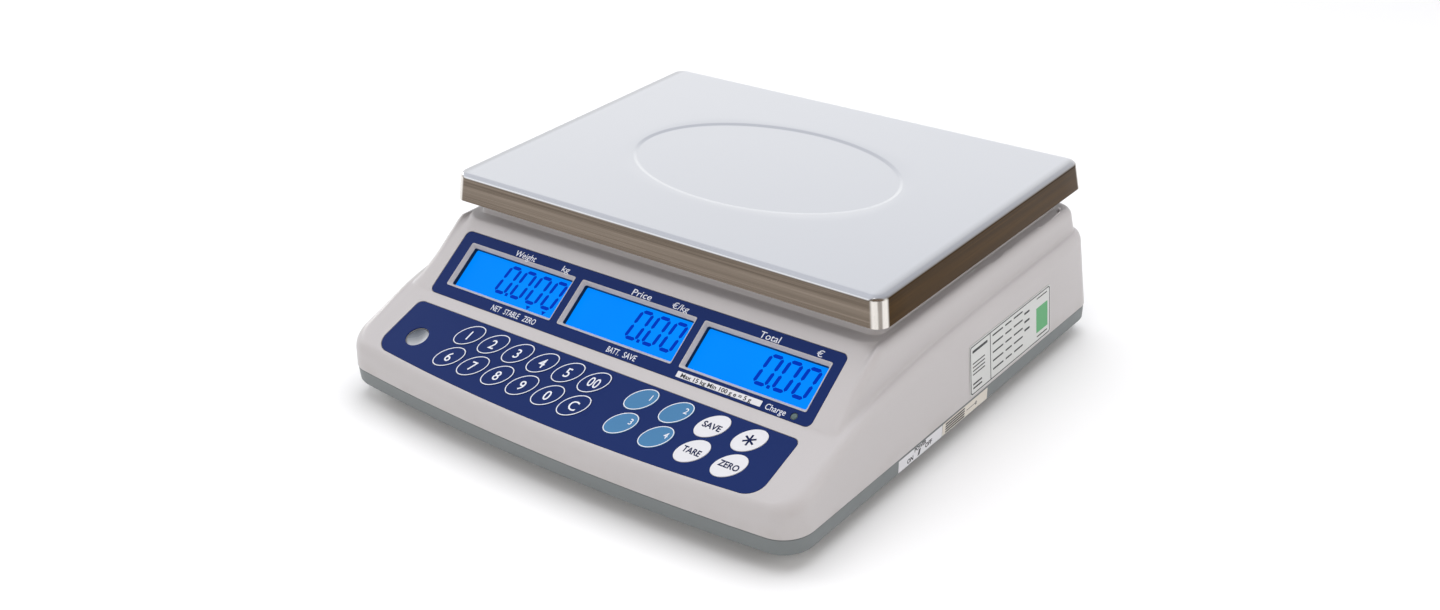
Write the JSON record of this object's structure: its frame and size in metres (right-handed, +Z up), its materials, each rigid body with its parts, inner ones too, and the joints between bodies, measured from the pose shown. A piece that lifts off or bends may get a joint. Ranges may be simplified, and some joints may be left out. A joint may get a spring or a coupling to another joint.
{
  "type": "retail scale",
  "caption": "Tabletop price-computing scale with a steel platter, displays on a sloped panel, an oval-key membrane keypad and a two-part plastic housing.",
  "frame": {"origin": "centre of the footprint, on the table under the feet", "axes": "+X to the operator's right, +Y away from the operator, +Z up"},
  "size_m": [0.3217, 0.317, 0.1098],
  "materials": {
    "housing": "fine-textured light grey moulded ABS, semi-matt",
    "base": "dark grey moulded ABS, fine texture",
    "overlay_blue": "dark blue printed polyester overlay, satin",
    "number_key": "dark blue polyester key area with a white outline and digit",
    "preset_key": "mid-blue polyester key area with a white outline and digit",
    "function_key": "off-white polyester key area with dark print",
    "platter_steel": "brushed stainless steel sheet, rounded edges",
    "aluminium": "milled aluminium",
    "cast_metal": "die-cast alloy, plain grey",
    "zinc_steel": "zinc-plated steel",
    "rubber": "black rubber",
    "lcd_glass": "bright blue backlit liquid-crystal display",
    "light_guide": "white light-guide panel",
    "circuit_board": "green glass-epoxy circuit board",
    "membrane_film": "clear polyester switch layers",
    "battery_case": "black moulded battery case",
    "label": "pale printed film label",
    "led_lens": "unlit indicator lens",
    "vial_acrylic": "clear level vial with a silvery cup",
    "cable_sheath": "grey sheathed cable",
    "black_plastic": "black moulded plastic"
  },
  "bodies": {
    "housing": {"backlight": "light_guide", "battery": "battery_case", "battery_strap": "zinc_steel", "case_screw_front_left": "zinc_steel", "case_screw_front_right": "zinc_steel", "case_screw_rear_left": "zinc_steel", "case_screw_rear_right": "zinc_steel", "charge_led": "led_lens", "chassis_plate": "zinc_steel", "dc_jack": "black_plastic", "display_board": "circuit_board", "display_overlay": "overlay_blue", "keypad_overlay": "overlay_blue", "lcd_bezel": "black_plastic", "lcd_total_price": "lcd_glass", "lcd_unit_price": "lcd_glass", "lcd_weight": "lcd_glass", "level_vial": "vial_acrylic", "load_cell": "aluminium", "load_cell_cable": "cable_sheath", "load_cell_riser": "cast_metal", "lower_housing": "base", "main_board": "circuit_board", "membrane_circuit": "membrane_film", "overload_stop": "zinc_steel", "rating_plate": "label", "switch_body": "black_plastic", "upper_housing": "housing"},
    "platform": {"platform_support": "cast_metal", "buffer_front_left": "rubber", "buffer_front_right": "rubber", "buffer_rear_left": "rubber", "buffer_rear_right": "rubber"},
    "platter": {"platter": "platter_steel"},
    "power_rocker": {"power_rocker": "black_plastic"},
    "battery_door": {"battery_door": "base"},
    "levelling_foot_front_left": {"levelling_foot_front_left": "rubber"},
    "levelling_foot_front_right": {"levelling_foot_front_right": "rubber"},
    "levelling_foot_rear_left": {"levelling_foot_rear_left": "rubber"},
    "levelling_foot_rear_right": {"levelling_foot_rear_right": "rubber"},
    "key_0": {"key_0": "number_key"},
    "key_1": {"key_1": "number_key"},
    "key_2": {"key_2": "number_key"},
    "key_3": {"key_3": "number_key"},
    "key_4": {"key_4": "number_key"},
    "key_5": {"key_5": "number_key"},
    "key_6": {"key_6": "number_key"},
    "key_7": {"key_7": "number_key"},
    "key_8": {"key_8": "number_key"},
    "key_9": {"key_9": "number_key"},
    "key_clear": {"key_clear": "number_key"},
    "key_double_zero": {"key_double_zero": "number_key"},
    "key_preset_1": {"key_preset_1": "preset_key"},
    "key_preset_2": {"key_preset_2": "preset_key"},
    "key_preset_3": {"key_preset_3": "preset_key"},
    "key_preset_4": {"key_preset_4": "preset_key"},
    "key_save": {"key_save": "function_key"},
    "key_star": {"key_star": "function_key"},
    "key_tare": {"key_tare": "function_key"},
    "key_zero": {"key_zero": "function_key"}
  },
  "joints": [
    {"name": "platform_deflection", "type": "slide", "parent": "housing", "child": "platform", "axis": [0, 0, 1], "range_m": [-0.0005, 0], "stiffness_N_per_m": 60000, "springref_m": 0.0004},
    {"name": "platter_lift", "type": "slide", "parent": "platform", "child": "platter", "axis": [0, 0, 1], "range_m": [0, 0.03]},
    {"name": "power_rocker_tilt", "type": "hinge", "parent": "housing", "child": "power_rocker", "pos_m": [0.146, -0.0365, 0.012], "axis": [1, 0, 0], "range_deg": [0, 16]},
    {"name": "battery_door_slide", "type": "slide", "parent": "housing", "child": "battery_door", "axis": [0, 1, 0], "range_m": [0, 0.024]},
    {"name": "foot_turn_front_left", "type": "hinge", "parent": "housing", "child": "levelling_foot_front_left", "pos_m": [-0.132, -0.128, 0], "axis": [0, 0, 1], "range_deg": [-720, 720]},
    {"name": "foot_turn_front_right", "type": "hinge", "parent": "housing", "child": "levelling_foot_front_right", "pos_m": [0.132, -0.128, 0], "axis": [0, 0, 1], "range_deg": [-720, 720]},
    {"name": "foot_turn_rear_left", "type": "hinge", "parent": "housing", "child": "levelling_foot_rear_left", "pos_m": [-0.132, 0.132, 0], "axis": [0, 0, 1], "range_deg": [-720, 720]},
    {"name": "foot_turn_rear_right", "type": "hinge", "parent": "housing", "child": "levelling_foot_rear_right", "pos_m": [0.132, 0.132, 0], "axis": [0, 0, 1], "range_deg": [-720, 720]},
    {"name": "key_0_press", "type": "slide", "parent": "housing", "child": "key_0", "axis": [0, -0.3204, 0.9473], "range_m": [-0.0003, 0], "stiffness_N_per_m": 2000},
    {"name": "key_1_press", "type": "slide", "parent": "housing", "child": "key_1", "axis": [0, -0.3204, 0.9473], "range_m": [-0.0003, 0], "stiffness_N_per_m": 2000},
    {"name": "key_2_press", "type": "slide", "parent": "housing", "child": "key_2", "axis": [0, -0.3204, 0.9473], "range_m": [-0.0003, 0], "stiffness_N_per_m": 2000},
    {"name": "key_3_press", "type": "slide", "parent": "housing", "child": "key_3", "axis": [0, -0.3204, 0.9473], "range_m": [-0.0003, 0], "stiffness_N_per_m": 2000},
    {"name": "key_4_press", "type": "slide", "parent": "housing", "child": "key_4", "axis": [0, -0.3204, 0.9473], "range_m": [-0.0003, 0], "stiffness_N_per_m": 2000},
    {"name": "key_5_press", "type": "slide", "parent": "housing", "child": "key_5", "axis": [0, -0.3204, 0.9473], "range_m": [-0.0003, 0], "stiffness_N_per_m": 2000},
    {"name": "key_6_press", "type": "slide", "parent": "housing", "child": "key_6", "axis": [0, -0.3204, 0.9473], "range_m": [-0.0003, 0], "stiffness_N_per_m": 2000},
    {"name": "key_7_press", "type": "slide", "parent": "housing", "child": "key_7", "axis": [0, -0.3204, 0.9473], "range_m": [-0.0003, 0], "stiffness_N_per_m": 2000},
    {"name": "key_8_press", "type": "slide", "parent": "housing", "child": "key_8", "axis": [0, -0.3204, 0.9473], "range_m": [-0.0003, 0], "stiffness_N_per_m": 2000},
    {"name": "key_9_press", "type": "slide", "parent": "housing", "child": "key_9", "axis": [0, -0.3204, 0.9473], "range_m": [-0.0003, 0], "stiffness_N_per_m": 2000},
    {"name": "key_clear_press", "type": "slide", "parent": "housing", "child": "key_clear", "axis": [0, -0.3204, 0.9473], "range_m": [-0.0003, 0], "stiffness_N_per_m": 2000},
    {"name": "key_double_zero_press", "type": "slide", "parent": "housing", "child": "key_double_zero", "axis": [0, -0.3204, 0.9473], "range_m": [-0.0003, 0], "stiffness_N_per_m": 2000},
    {"name": "key_preset_1_press", "type": "slide", "parent": "housing", "child": "key_preset_1", "axis": [0, -0.3204, 0.9473], "range_m": [-0.0003, 0], "stiffness_N_per_m": 2000},
    {"name": "key_preset_2_press", "type": "slide", "parent": "housing", "child": "key_preset_2", "axis": [0, -0.3204, 0.9473], "range_m": [-0.0003, 0], "stiffness_N_per_m": 2000},
    {"name": "key_preset_3_press", "type": "slide", "parent": "housing", "child": "key_preset_3", "axis": [0, -0.3204, 0.9473], "range_m": [-0.0003, 0], "stiffness_N_per_m": 2000},
    {"name": "key_preset_4_press", "type": "slide", "parent": "housing", "child": "key_preset_4", "axis": [0, -0.3204, 0.9473], "range_m": [-0.0003, 0], "stiffness_N_per_m": 2000},
    {"name": "key_save_press", "type": "slide", "parent": "housing", "child": "key_save", "axis": [0, -0.3204, 0.9473], "range_m": [-0.0003, 0], "stiffness_N_per_m": 2000},
    {"name": "key_star_press", "type": "slide", "parent": "housing", "child": "key_star", "axis": [0, -0.3204, 0.9473], "range_m": [-0.0003, 0], "stiffness_N_per_m": 2000},
    {"name": "key_tare_press", "type": "slide", "parent": "housing", "child": "key_tare", "axis": [0, -0.3204, 0.9473], "range_m": [-0.0003, 0], "stiffness_N_per_m": 2000},
    {"name": "key_zero_press", "type": "slide", "parent": "housing", "child": "key_zero", "axis": [0, -0.3204, 0.9473], "range_m": [-0.0003, 0], "stiffness_N_per_m": 2000}
  ]
}
